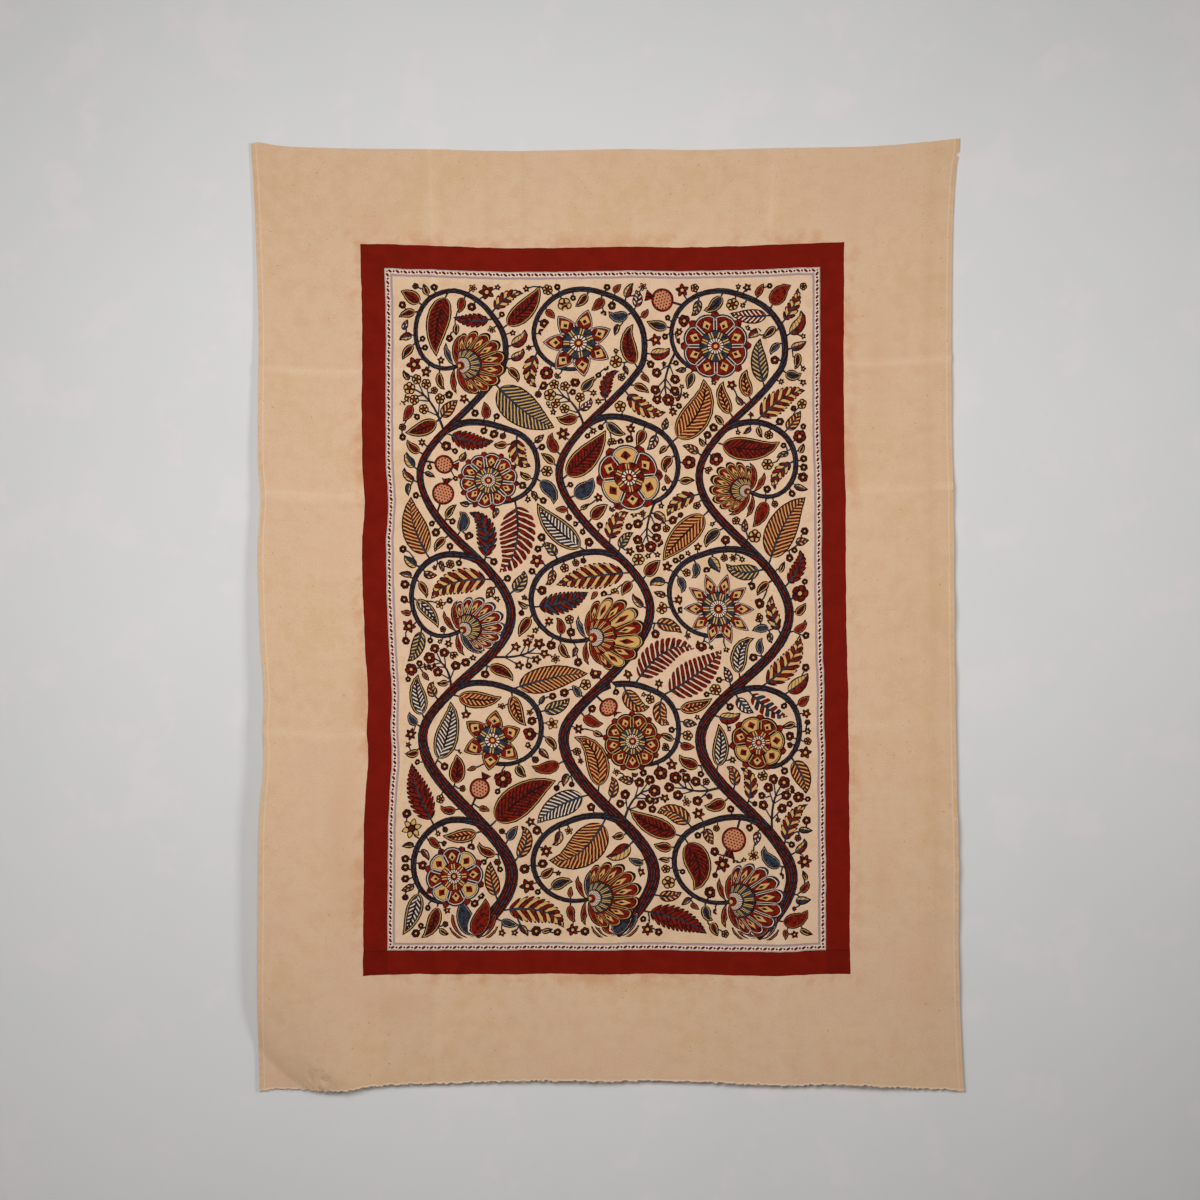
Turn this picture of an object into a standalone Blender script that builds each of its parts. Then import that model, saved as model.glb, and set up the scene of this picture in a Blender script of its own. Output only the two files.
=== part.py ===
# A hand-painted cotton panel that hangs against a wall from its two upper corners.
# Metres. +X runs to the right across the panel, -Y faces the room and +Z is up.
# The origin lies halfway between the two upper corners, in the plane of the wall.

import math
from collections import namedtuple

import bmesh
import bpy

# The cloth as it was cut: a full loom width between its two selvedges.
CLOTH_WIDTH = 1.120
CLOTH_LENGTH = 1.500
CLOTH_THICKNESS = 0.001
PLUMB_DROP = 1.5005  # from the upper corners' level down to the lower corners' level
WALL_GAP = 0.001  # the least room between the back of the cloth and the wall

# The even grid that the sheet starts from. Each crease adds lines of its own.
GRID_COLUMNS = 26
GRID_ROWS = 40
SAME_LINE = 0.001  # a crease's line closer than this to the grid's shares its points

# How far a side hangs inside the plumb line through its upper corner.
# down is measured along the cloth from its top edge.
Side = namedtuple("Side", "down inward")
LEFT_SIDE = (
    Side(down=0.000, inward=0.0000),
    Side(down=0.073, inward=0.0047),
    Side(down=0.144, inward=0.0079),
    Side(down=0.287, inward=0.0126),
    Side(down=0.500, inward=0.0126),
    Side(down=0.561, inward=0.0170),
    Side(down=0.640, inward=0.0126),
    Side(down=0.786, inward=0.0174),
    Side(down=0.877, inward=0.0235),
    Side(down=0.929, inward=0.0208),
    Side(down=0.970, inward=0.0235),
    Side(down=1.072, inward=0.0158),
    Side(down=1.200, inward=0.0142),
    Side(down=1.400, inward=0.0126),
    Side(down=1.500, inward=0.0142),
)
RIGHT_SIDE = (
    Side(down=0.000, inward=0.0000),
    Side(down=0.019, inward=0.0004),
    Side(down=0.049, inward=0.0058),
    Side(down=0.151, inward=0.0115),
    Side(down=0.400, inward=0.0134),
    Side(down=0.577, inward=0.0105),
    Side(down=0.790, inward=0.0090),
    Side(down=1.003, inward=0.0055),
    Side(down=1.145, inward=0.0026),
    Side(down=1.287, inward=0.0022),
    Side(down=1.429, inward=-0.0024),
    Side(down=1.500, inward=-0.0070),
)

# How far the top edge sags below the corners' level, and how far the bottom edge
# rises above the lower corners' level. across is measured from the left selvedge.
Hem = namedtuple("Hem", "across offset")
TOP_SAG = (
    Hem(across=0.000, offset=0.0047),
    Hem(across=0.013, offset=0.0025),
    Hem(across=0.030, offset=0.0063),
    Hem(across=0.062, offset=0.0095),
    Hem(across=0.133, offset=0.0126),
    Hem(across=0.275, offset=0.0145),
    Hem(across=0.417, offset=0.0172),
    Hem(across=0.595, offset=0.0142),
    Hem(across=0.702, offset=0.0156),
    Hem(across=0.844, offset=0.0126),
    Hem(across=0.987, offset=0.0094),
    Hem(across=1.058, offset=0.0033),
    Hem(across=1.120, offset=-0.0035),
)
BOTTOM_RISE = (
    Hem(across=0.000, offset=0.0000),
    Hem(across=0.030, offset=0.0031),
    Hem(across=0.118, offset=0.0000),
    Hem(across=0.191, offset=0.0093),
    Hem(across=0.334, offset=0.0142),
    Hem(across=0.477, offset=0.0172),
    Hem(across=0.549, offset=0.0158),
    Hem(across=0.620, offset=0.0172),
    Hem(across=0.764, offset=0.0126),
    Hem(across=0.835, offset=0.0095),
    Hem(across=0.907, offset=0.0108),
    Hem(across=1.050, offset=0.0047),
    Hem(across=1.120, offset=0.0005),
)

# How far the cloth stands off the wall down its left side, middle and right side.
StandOff = namedtuple("StandOff", "down left middle right")
STAND_OFFS = (
    StandOff(down=0.00, left=0.0010, middle=0.0040, right=0.0010),
    StandOff(down=0.15, left=0.0020, middle=0.0070, right=0.0025),
    StandOff(down=0.40, left=0.0070, middle=0.0100, right=0.0045),
    StandOff(down=0.60, left=0.0110, middle=0.0105, right=0.0060),
    StandOff(down=0.80, left=0.0160, middle=0.0115, right=0.0070),
    StandOff(down=1.05, left=0.0200, middle=0.0120, right=0.0075),
    StandOff(down=1.25, left=0.0185, middle=0.0120, right=0.0070),
    StandOff(down=1.50, left=0.0110, middle=0.0100, right=0.0055),
)
LEFT_REACH = 0.26  # how far in from a side its own stand-off fades into the middle's
RIGHT_REACH = 0.18

# The storage creases. A level crease runs across the cloth, a plumb one down it.
# place is down from the top edge or across from the left selvedge, and a height
# below nothing is a trough.
Crease = namedtuple("Crease", "runs place width height")
CREASES = (
    Crease(runs="level", place=0.352, width=0.040, height=0.0028),
    Crease(runs="level", place=0.548, width=0.040, height=0.0024),
    Crease(runs="level", place=0.925, width=0.044, height=0.0016),
    Crease(runs="plumb", place=0.280, width=0.040, height=0.0026),
    Crease(runs="plumb", place=0.428, width=0.044, height=-0.0018),
    Crease(runs="plumb", place=0.820, width=0.040, height=0.0028),
    Crease(runs="plumb", place=1.083, width=0.036, height=-0.0018),
)

# The right selvedge is slack, so it lifts off the wall in short ruffles.
Ruffle = namedtuple("Ruffle", "down length height")
RUFFLES = (
    Ruffle(down=0.400, length=0.130, height=0.0018),
    Ruffle(down=0.562, length=0.100, height=0.0030),
    Ruffle(down=0.648, length=0.090, height=0.0036),
    Ruffle(down=0.746, length=0.100, height=0.0050),
    Ruffle(down=0.854, length=0.120, height=0.0034),
    Ruffle(down=1.093, length=0.090, height=0.0042),
    Ruffle(down=1.153, length=0.080, height=0.0046),
    Ruffle(down=1.221, length=0.090, height=0.0036),
    Ruffle(down=1.316, length=0.120, height=0.0030),
)
RUFFLE_REACH = 0.060  # how far in from the selvedge the ruffles fade out

# Waves lift the bottom edge, and the lower left corner lies back on the wall
# beyond a diagonal fold.
Wave = namedtuple("Wave", "across length height")
BOTTOM_WAVES = (
    Wave(across=0.130, length=0.150, height=0.0060),
    Wave(across=0.560, length=0.320, height=0.0020),
    Wave(across=0.950, length=0.240, height=0.0035),
)
WAVE_REACH = 0.16  # how far up the cloth the waves fade out
CORNER_FOLD = 0.100  # from the corner to where the fold meets each edge
FOLD_SOFTNESS = 0.80  # the fold's width as a share of that distance
CORNER_REST = 0.0030  # how far off the wall the folded corner lies

# A small tear in the right selvedge, just below the upper corner.
TEAR_DOWN = 0.026
TEAR_DEPTH = 0.0050
TEAR_HALF_HEIGHT = 0.0040

CLOTH_COLOUR = (0.62, 0.42, 0.27, 1.0)
CLOTH_ROUGHNESS = 0.9


def eased(share):
    """A smooth step from 0 to 1 as share goes from 0 to 1."""
    share = min(max(share, 0.0), 1.0)
    return share * share * (3.0 - 2.0 * share)


def read_between(rows, place, column):
    """A smooth curve through one column of a table, read at a place in its first column."""
    i = 0
    while i < len(rows) - 2 and rows[i + 1][0] < place:
        i += 1
    start, end = rows[i], rows[i + 1]
    before = rows[max(i - 1, 0)]
    after = rows[min(i + 2, len(rows) - 1)]
    a = getattr(start, column)
    b = getattr(end, column)
    step = end[0] - start[0]
    slope_a = (b - getattr(before, column)) / (end[0] - before[0]) * step
    slope_b = (getattr(after, column) - a) / (after[0] - start[0]) * step
    share = min(max((place - start[0]) / step, 0.0), 1.0)
    ends = a + (b - a) * eased(share)
    slopes = slope_a * share * (1 - share) ** 2 - slope_b * share**2 * (1 - share)
    return ends + slopes


def bump(distance, length):
    """A rounded hump, 1 at its middle and 0 from half its length away."""
    share = abs(distance) / (length / 2)
    return 0.0 if share >= 1.0 else (1.0 + math.cos(math.pi * share)) / 2


def off_the_wall(across, down):
    """How far the middle of the cloth's thickness stands off the wall."""
    depth = read_between(STAND_OFFS, down, "middle")
    left = read_between(STAND_OFFS, down, "left") - depth
    right = read_between(STAND_OFFS, down, "right") - depth
    from_right = CLOTH_WIDTH - across
    from_bottom = CLOTH_LENGTH - down
    depth += left * (1.0 - eased(across / LEFT_REACH))
    depth += right * (1.0 - eased(from_right / RIGHT_REACH))
    for crease in CREASES:
        place = down if crease.runs == "level" else across
        depth += crease.height * bump(place - crease.place, crease.width)
    for ruffle in RUFFLES:
        near = 1.0 - eased(from_right / RUFFLE_REACH)
        depth += ruffle.height * near * bump(down - ruffle.down, ruffle.length)
    for wave in BOTTOM_WAVES:
        near = 1.0 - eased(from_bottom / WAVE_REACH)
        depth += wave.height * near * bump(across - wave.across, wave.length)
    past_fold = (across + from_bottom) / CORNER_FOLD - 1.0
    lifted = eased(past_fold / FOLD_SOFTNESS + 0.5)
    depth = CORNER_REST + (depth - CORNER_REST) * lifted
    return WALL_GAP + CLOTH_THICKNESS / 2 + max(depth, 0.0)


def torn_away(across, down):
    """How much of the right selvedge's outermost threads the tear has taken."""
    if CLOTH_WIDTH - across > TEAR_DEPTH:
        return 0.0
    return TEAR_DEPTH * max(0.0, 1.0 - abs(down - TEAR_DOWN) / TEAR_HALF_HEIGHT)


def hung(across, down):
    """Where a point of the flat cloth hangs."""
    left = -CLOTH_WIDTH / 2 + read_between(LEFT_SIDE, down, "inward")
    right = CLOTH_WIDTH / 2 - read_between(RIGHT_SIDE, down, "inward") - torn_away(across, down)
    top = -read_between(TOP_SAG, across, "offset")
    bottom = -PLUMB_DROP + read_between(BOTTOM_RISE, across, "offset")
    x = left + (right - left) * across / CLOTH_WIDTH
    z = top + (bottom - top) * down / CLOTH_LENGTH
    return x, -off_the_wall(across, down), z


def crease_lines(runs):
    """Where the grid needs lines of its own for the creases that run one way."""
    lines = []
    for crease in CREASES:
        if crease.runs == runs:
            lines += [crease.place - crease.width / 2, crease.place, crease.place + crease.width / 2]
    return lines


def flat_cloth():
    """The cut cloth laid flat, gridded, with lines along its creases and its tear."""
    mesh = bmesh.new()
    bmesh.ops.create_grid(mesh, x_segments=GRID_COLUMNS, y_segments=GRID_ROWS, size=0.5)
    bmesh.ops.translate(mesh, verts=mesh.verts, vec=(0.5, -0.5, 0.0))
    bmesh.ops.scale(mesh, verts=mesh.verts, vec=(CLOTH_WIDTH, CLOTH_LENGTH, 1.0))
    downs = crease_lines("level")
    downs += [TEAR_DOWN - TEAR_HALF_HEIGHT, TEAR_DOWN, TEAR_DOWN + TEAR_HALF_HEIGHT]
    acrosses = crease_lines("plumb")
    acrosses += [CLOTH_WIDTH - RUFFLE_REACH / 2]
    cuts = [((0.0, -down, 0.0), (0.0, 1.0, 0.0)) for down in downs]
    cuts += [((across, 0.0, 0.0), (1.0, 0.0, 0.0)) for across in acrosses]
    for place, across_cut in cuts:
        bmesh.ops.bisect_plane(
            mesh,
            geom=mesh.verts[:] + mesh.edges[:] + mesh.faces[:],
            dist=SAME_LINE,
            plane_co=place,
            plane_no=across_cut,
        )
    return mesh


def cloth_material():
    material = bpy.data.materials.new("dyed_cotton")
    material.use_nodes = True
    shader = material.node_tree.nodes["Principled BSDF"]
    shader.inputs["Base Color"].default_value = CLOTH_COLOUR
    shader.inputs["Roughness"].default_value = CLOTH_ROUGHNESS
    shader.inputs["Metallic"].default_value = 0.0
    return material


def hang_cloth():
    """The one sheet of cloth, in the shape in which it hangs."""
    sheet = flat_cloth()
    for point in sheet.verts:
        point.co = hung(point.co.x, -point.co.y)
    bmesh.ops.recalc_face_normals(sheet, faces=sheet.faces)
    data = bpy.data.meshes.new("panel_cloth")
    sheet.to_mesh(data)
    sheet.free()
    data.shade_smooth()
    data.materials.append(cloth_material())
    cloth = bpy.data.objects.new("panel_cloth", data)
    bpy.context.scene.collection.objects.link(cloth)
    thickness = cloth.modifiers.new("thickness", "SOLIDIFY")
    thickness.thickness = CLOTH_THICKNESS
    thickness.offset = 0.0
    return cloth


for old in list(bpy.data.objects):
    bpy.data.objects.remove(old)
hang_cloth()
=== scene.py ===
import math
import random

import bmesh
import bpy
import numpy as np
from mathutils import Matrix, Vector, noise
from mathutils.geometry import delaunay_2d_cdt


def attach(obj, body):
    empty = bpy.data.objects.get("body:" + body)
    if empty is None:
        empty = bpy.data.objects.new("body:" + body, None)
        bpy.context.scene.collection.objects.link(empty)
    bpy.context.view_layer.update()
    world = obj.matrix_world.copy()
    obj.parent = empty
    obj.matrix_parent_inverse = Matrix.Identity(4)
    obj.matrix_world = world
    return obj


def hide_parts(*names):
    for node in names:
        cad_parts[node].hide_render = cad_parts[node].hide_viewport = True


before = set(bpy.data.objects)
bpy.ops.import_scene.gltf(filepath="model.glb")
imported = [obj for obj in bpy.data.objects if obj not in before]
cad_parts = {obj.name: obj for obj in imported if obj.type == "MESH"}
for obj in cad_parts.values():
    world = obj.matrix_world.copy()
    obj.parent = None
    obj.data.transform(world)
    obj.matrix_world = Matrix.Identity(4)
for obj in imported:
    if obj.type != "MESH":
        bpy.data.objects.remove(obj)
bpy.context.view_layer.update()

print("stage: frame loaded")

# The hung cloth. across runs from the left selvedge, down from the top edge, both in metres of flat cloth.
cloth = {
    "width": 1.120,
    "length": 1.500,
    "thickness": 0.0006,
    "plumbDrop": 1.5005,  # upper corners' level down to the lower corners' level
    "wallGap": 0.0015,
    "columnStep": 0.0118,
    "rowStep": 0.0118,
    "edgeStep": 0.0024,  # spacing along the frayed lower edge
    "cornerStep": 0.0050,
    "cutRoughness": 0.0034,
    "snap": 0.0003,  # points of the mesh nearer than this are joined
    "steepest": 0.90,  # cosine of the steepest slope that a fold has
    "leftReach": 0.26,
    "rightReach": 0.18,
    "ruffleReach": 0.060,
    "waveReach": 0.16,
    "foldAcross": 0.080,
    "foldUp": 0.070,
    "foldBow": 0.80,  # below 1 the fold bows towards the corner
    "foldReach": 0.80,  # how far past the fold the cloth still climbs, as a share of the fold's size
    "cornerRest": 0.0030,
    "tearDown": 0.026,
    "tearDepth": 0.0046,
    "tearHalfHeight": 0.0044,
}

# How far each side hangs inside the plumb line through its upper corner: (down, inward).
leftSide = (
    (0.000, 0.0000), (0.073, 0.0047), (0.144, 0.0079), (0.287, 0.0126), (0.500, 0.0126),
    (0.561, 0.0170), (0.640, 0.0126), (0.786, 0.0174), (0.877, 0.0235), (0.929, 0.0208),
    (0.970, 0.0235), (1.072, 0.0158), (1.200, 0.0142), (1.400, 0.0126), (1.500, 0.0142),
)
rightSide = (
    (0.000, 0.0000), (0.019, 0.0004), (0.049, 0.0058), (0.151, 0.0115), (0.400, 0.0134),
    (0.577, 0.0105), (0.790, 0.0090), (1.003, 0.0055), (1.145, 0.0026), (1.287, 0.0022),
    (1.429, -0.0024), (1.500, -0.0070),
)
# The top edge's sag and the lower edge's rise: (across, offset).
topSag = (
    (0.000, 0.0047), (0.013, 0.0025), (0.030, 0.0063), (0.062, 0.0095), (0.133, 0.0126),
    (0.275, 0.0145), (0.417, 0.0172), (0.595, 0.0142), (0.702, 0.0156), (0.844, 0.0126),
    (0.987, 0.0094), (1.058, 0.0033), (1.120, -0.0035),
)
bottomRise = (
    (0.000, 0.0000), (0.030, 0.0031), (0.118, 0.0000), (0.191, 0.0093), (0.334, 0.0142),
    (0.477, 0.0172), (0.549, 0.0158), (0.620, 0.0172), (0.764, 0.0126), (0.835, 0.0095),
    (0.907, 0.0108), (1.050, 0.0047), (1.120, 0.0005),
)
# The stand-off from the wall: (down, left, middle, right).
standOffs = (
    (0.00, 0.0010, 0.0040, 0.0010), (0.15, 0.0020, 0.0070, 0.0025), (0.40, 0.0070, 0.0100, 0.0045),
    (0.60, 0.0110, 0.0105, 0.0060), (0.80, 0.0160, 0.0115, 0.0070), (1.05, 0.0200, 0.0120, 0.0075),
    (1.25, 0.0185, 0.0120, 0.0070), (1.50, 0.0110, 0.0100, 0.0055),
)
# Storage creases: which way it runs, place at each end, width and height; how they fade is worked out where they
# are read.
creases = (
    {"runs": "level", "from": 0.357, "to": 0.347, "width": 0.020, "height": 0.0028},
    {"runs": "level", "from": 0.554, "to": 0.549, "width": 0.020, "height": 0.0026},
    {"runs": "level", "from": 0.936, "to": 0.923, "width": 0.022, "height": 0.0009},
    {"runs": "plumb", "from": 0.282, "to": 0.284, "width": 0.020, "height": 0.0024},
    {"runs": "plumb", "from": 0.371, "to": 0.367, "width": 0.016, "height": -0.0016},
    {"runs": "plumb", "from": 0.429, "to": 0.431, "width": 0.016, "height": -0.0018},
    {"runs": "plumb", "from": 0.826, "to": 0.828, "width": 0.020, "height": 0.0026},
    {"runs": "plumb", "from": 1.081, "to": 1.083, "width": 0.022, "height": -0.0020},
)
# The slack right selvedge's ruffles: (down, length, height).
ruffles = (
    (0.400, 0.130, 0.0018), (0.562, 0.100, 0.0030), (0.648, 0.090, 0.0036), (0.746, 0.100, 0.0050),
    (0.854, 0.120, 0.0034), (1.093, 0.090, 0.0042), (1.153, 0.080, 0.0046), (1.221, 0.090, 0.0036),
    (1.316, 0.120, 0.0030),
)
# The lower edge's waves: (across, length, height).
bottomWaves = ((0.130, 0.150, 0.0060), (0.560, 0.320, 0.0020), (0.950, 0.240, 0.0035))
# Short slanting puckers: centre across, centre down, length, width, turn in degrees, height.
puckers = (
    (0.112, 0.672, 0.060, 0.010, -28, 0.0012),
    (0.057, 0.748, 0.070, 0.011, 24, 0.0012),
    (1.098, 0.745, 0.034, 0.008, 18, 0.0016),
    (1.096, 1.113, 0.034, 0.008, -16, 0.0014),
    (1.100, 1.151, 0.030, 0.007, 12, 0.0014),
    (0.060, 0.905, 0.050, 0.012, 35, 0.0010),
)


def eased(share):
    share = min(max(share, 0.0), 1.0)
    return share * share * (3.0 - 2.0 * share)


def readBetween(rows, place, column=1):  # a smooth curve through one column of a table
    i = 0
    while i < len(rows) - 2 and rows[i + 1][0] < place:
        i += 1
    start, end = rows[i], rows[i + 1]
    before, after = rows[max(i - 1, 0)], rows[min(i + 2, len(rows) - 1)]
    a, b = start[column], end[column]
    step = end[0] - start[0]
    slopeA = (b - before[column]) / (end[0] - before[0]) * step
    slopeB = (after[column] - a) / (after[0] - start[0]) * step
    share = min(max((place - start[0]) / step, 0.0), 1.0)
    slopes = slopeA * share * (1 - share) ** 2 - slopeB * share**2 * (1 - share)
    return a + (b - a) * eased(share) + slopes


def bump(distance, length):  # a rounded hump, 1 in its middle
    share = abs(distance) / (length / 2)
    return 0.0 if share >= 1.0 else (1.0 + math.cos(math.pi * share)) / 2


def creaseHumps(across, down):  # each crease's height, and how much of its hump is here
    for crease in creases:
        level = crease["runs"] == "level"
        share = across / cloth["width"] if level else down / cloth["length"]
        line = crease["from"] + (crease["to"] - crease["from"]) * share
        line += 0.0015 * noise.noise(Vector((share * 9, line * 40, 0)))  # never quite straight
        strength = 0.75 + 0.5 * noise.noise(Vector((share * 6, line * 70, 5)))
        if not level:  # the upright creases die out below the painted part
            strength *= 1.0 - 0.65 * eased((down - 1.26) / 0.10)
        yield crease["height"], strength * bump((down if level else across) - line, crease["width"])


def foldWear(across, down):  # ridges painted paler and valleys painted darker: partly rubbed and soiled cotton, partly painted highlight and painted shade of the crease relief
    return sum(hump * max(-1.0, min(1.0, height / 0.0018)) for height, hump in creaseHumps(across, down))


def offTheWall(across, down):
    fromRight = cloth["width"] - across
    fromBottom = cloth["length"] - down
    depth = readBetween(standOffs, down, 2)
    left = readBetween(standOffs, down, 1) - depth
    right = readBetween(standOffs, down, 3) - depth
    depth += left * (1.0 - eased(across / cloth["leftReach"]))
    depth += right * (1.0 - eased(fromRight / cloth["rightReach"]))
    for height, hump in creaseHumps(across, down):
        depth += height * hump
    for place, length, height in ruffles:
        near = 1.0 - eased(fromRight / cloth["ruffleReach"])
        depth += height * near * bump(down - place, length)
    for place, length, height in bottomWaves:
        near = 1.0 - eased(fromBottom / cloth["waveReach"])
        depth += height * near * bump(across - place, length)
    for placeAcross, placeDown, length, width, turn, height in puckers:
        c, s = math.cos(math.radians(turn)), math.sin(math.radians(turn))
        along = (across - placeAcross) * c + (down - placeDown) * s
        aside = (down - placeDown) * c - (across - placeAcross) * s
        depth += height * bump(along, length) * bump(aside, width)
    # the cloth above the corner fold rises softly
    depth -= 0.0030 * (1.0 - eased((across - 0.035) / 0.050)) * bump(down - 1.415, 0.150)
    depth += 0.0011 * noise.noise(Vector((across * 7, down * 5, 1)))  # broad slackness
    depth += 0.00035 * noise.noise(Vector((across * 26, down * 20, 2)))
    pastFold = (max(across, 0.0) / cloth["foldAcross"]) ** cloth["foldBow"]
    pastFold += (max(fromBottom, 0.0) / cloth["foldUp"]) ** cloth["foldBow"] - 1.0
    climbed = min(max(pastFold / cloth["foldReach"], 0.0), 1.0)
    depth = cloth["cornerRest"] + (depth - cloth["cornerRest"]) * climbed * (2.0 - climbed)
    return cloth["wallGap"] + max(depth, 0.0)


def tornAway(across, down):
    if cloth["width"] - across > cloth["tearDepth"]:
        return 0.0
    return cloth["tearDepth"] * max(0.0, 1.0 - abs(down - cloth["tearDown"]) / cloth["tearHalfHeight"])


def hung(across, down):  # where a point of the flat cloth hangs
    half = cloth["width"] / 2
    left = -half + readBetween(leftSide, down)
    right = half - readBetween(rightSide, down) - tornAway(across, down)
    top = -readBetween(topSag, across)
    bottom = -cloth["plumbDrop"] + readBetween(bottomRise, across)
    edgeNoise = 0.0005 * noise.noise(Vector((across * 160, down * 160, 3)))  # cut and woven edges wander
    nearSide = max(0.0, 1.0 - min(across, cloth["width"] - across) / 0.014)
    nearEnd = max(0.0, 1.0 - min(down, cloth["length"] - down) / 0.014)
    x = left + (right - left) * across / cloth["width"] + edgeNoise * nearSide
    z = top + (bottom - top) * down / cloth["length"] + edgeNoise * nearEnd
    if cloth["length"] - down < 0.0002:  # threads pulled from the cut edge
        z += cloth["cutRoughness"] * noise.noise(Vector((across * 301.3 + 0.37, 0.5, 9.5)))
    return Vector((x, -offTheWall(across, down), z))


# The dyed frame round the painted field, in metres of flat cloth.
borders = {
    "left": 0.1675,
    "right": 0.9455,
    "top": 0.1555,
    "bottom": 1.3265,
    "band": 0.0385,
    "guard": 0.0135,
}
frameDepth = borders["band"] + borders["guard"]
field = {
    "left": borders["left"] + frameDepth,
    "bottom": borders["bottom"] - frameDepth,
    "width": borders["right"] - borders["left"] - 2 * frameDepth,
    "height": borders["bottom"] - borders["top"] - 2 * frameDepth,
}

# The painted field: scrolling vines, each bend holding a flower, with leaves and small blossoms between.
vines = {
    "columns": 3,
    "bends": 5,
    "swing": 0.072,
    "rootHalfWidth": 0.0105,
    "tipHalfWidth": 0.0062,
    "scrollHalfWidth": 0.0050,
    "scrollTipHalfWidth": 0.0034,
    "twigHalfWidth": 0.0017,
    "pathStep": 0.010,
    "twigStep": 0.013,
    "curlStep": 0.005,
    "rootUp": 0.012,  # how far above the field's lower edge a vine starts
    "edgeRoom": 0.0065,  # bare cloth between the design and the guard stripe
    "sweep": 235,  # how far round a scroll turns, in degrees
    "lastSweep": 305,
    "drift": 0.007,  # how far the whole drawing wanders by hand
}
flowers = {
    "sizes": (0.057, 0.050, 0.054, 0.048, 0.059, 0.052),  # radii of the large flowers
    "sprays": 9,
    "sprayTries": 260,
    "fruits": 6,
    "largestFiller": 0.0190,
    "leastRoom": 0.0057,
    "fillerGap": 0.0008,
    "leafShare": 0.55,
}
leaves = {
    "lengths": (0.112, 0.098, 0.084, 0.070, 0.057, 0.046, 0.037, 0.029),
    "spacing": 0.008,
    "clear": 0.0008,  # bare cloth kept round each leaf
    "tries": 3,
    "largeFrom": 0.05,
    "pieces": 7,
    "smallPieces": 5,
}
dice = random.Random(7)

stems, leafList, flowerList = [], [], []


def smoothPath(points, step):  # a curve through the points, resampled evenly
    dense = []
    for i in range(len(points) - 1):
        p0, p1 = points[max(i - 1, 0)], points[i]
        p2, p3 = points[i + 1], points[min(i + 2, len(points) - 1)]
        for k in range(12):
            t = k / 12
            dense.append(0.5 * (2 * p1 + (p2 - p0) * t + (2 * p0 - 5 * p1 + 4 * p2 - p3) * t**2
                                + (3 * p1 - p0 - 3 * p2 + p3) * t**3))
    dense.append(points[-1].copy())
    gone = [0.0]
    for a, b in zip(dense, dense[1:]):
        gone.append(gone[-1] + (b - a).length)
    count = max(2, round(gone[-1] / step))
    path, k = [], 0
    for i in range(count + 1):
        want = gone[-1] * i / count
        while k < len(dense) - 2 and gone[k + 1] < want:
            k += 1
        span = max(gone[k + 1] - gone[k], 1e-9)
        path.append(dense[k].lerp(dense[k + 1], min(max((want - gone[k]) / span, 0.0), 1.0)))
    return path


def tangents(path):
    result = []
    for i in range(len(path)):
        result.append((path[min(i + 1, len(path) - 1)] - path[max(i - 1, 0)]).normalized())
    return result


# How far each cell of the field is from the nearest paint or the field's edge.
cell = 0.002
cellsAcross, cellsUp = int(field["width"] / cell) + 1, int(field["height"] / cell) + 1
cellX, cellY = np.arange(cellsAcross)[:, None] * cell, np.arange(cellsUp)[None, :] * cell
clearance = np.minimum(np.minimum(cellX, field["width"] - cellX), np.minimum(cellY, field["height"] - cellY))
clearance -= vines["edgeRoom"]


def paintOver(x, y, radius):
    reach = radius + 0.06
    window = (slice(max(int((x - reach) / cell), 0), max(int((x + reach) / cell), 0)),
              slice(max(int((y - reach) / cell), 0), max(int((y + reach) / cell), 0)))
    gaps = np.hypot(cellX[window[0]] - x, cellY[:, window[1]] - y) - radius
    clearance[window] = np.minimum(clearance[window], gaps)


def isFree(x, y, radius):
    i, j = round(x / cell), round(y / cell)
    if not (0 <= i < cellsAcross and 0 <= j < cellsUp):
        return False
    return clearance[i, j] > radius


def addStem(points, startHalfWidth, endHalfWidth, knob=0.0, mark=True, step=vines["pathStep"]):
    path = smoothPath(points, step)
    last = len(path) - 1
    widths = [startHalfWidth + (endHalfWidth - startHalfWidth) * i / last for i in range(last + 1)]
    if knob and last > 2:
        widths[-2], widths[-1] = knob, knob * 0.75
    stems.append((path, widths))
    if mark:
        for p, w in zip(path, widths):
            paintOver(p.x, p.y, w + 0.001)
    return path


def leafHalf(share, length, aspect):  # half the leaf's width, share of the way along it
    return aspect * length * 2.68 * max(share, 0.0)**0.55 * max(1.0 - share, 0.0) ** 0.95


def leafPath(base, heading, length, curl):  # an arc that tightens towards the tip
    count = leaves["pieces"] if length > leaves["largeFrom"] else leaves["smallPieces"]
    path, p, angle = [base.copy()], base.copy(), heading
    for i in range(count):
        angle += curl * (0.35 + 1.3 * (i / (count - 1)) ** 2) * 1.25 / count
        p = p + Vector((math.cos(angle), math.sin(angle))) * length / count
        path.append(p.copy())
    return path


def leafFits(path, length, aspect):
    last = len(path) - 1
    for i in range(1, last + 1):
        for share, p in ((i / last, path[i]), ((i - 0.5) / last, path[i - 1].lerp(path[i], 0.5))):
            if share > 0.15 and not isFree(p.x, p.y, leafHalf(share, length, aspect) + leaves["clear"]):
                return False
    return True


def addLeaf(base, heading, length, aspect, curl, sort, seed):
    path = leafPath(base, heading, length, curl)
    leafList.append((path, length, aspect, sort, seed))
    last = len(path) - 1
    for i in range(last + 1):
        for share, p in ((i / last, path[i]), ((i - 0.5) / last, path[max(i - 1, 0)].lerp(path[i], 0.5))):
            paintOver(p.x, p.y, leafHalf(share, length, aspect) + 0.001)


def addFlower(centre, radius, turn, sort, seed, petals):
    flowerList.append((centre, radius, turn, sort, seed, petals))
    paintOver(centre.x, centre.y, radius * 0.96)


def vineAt(column, y):
    pitch, rise = field["width"] / vines["columns"], field["height"] / vines["bends"]
    return Vector((pitch * (column + 0.5) + vines["swing"] * math.sin(math.pi * y / rise), y))


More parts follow.
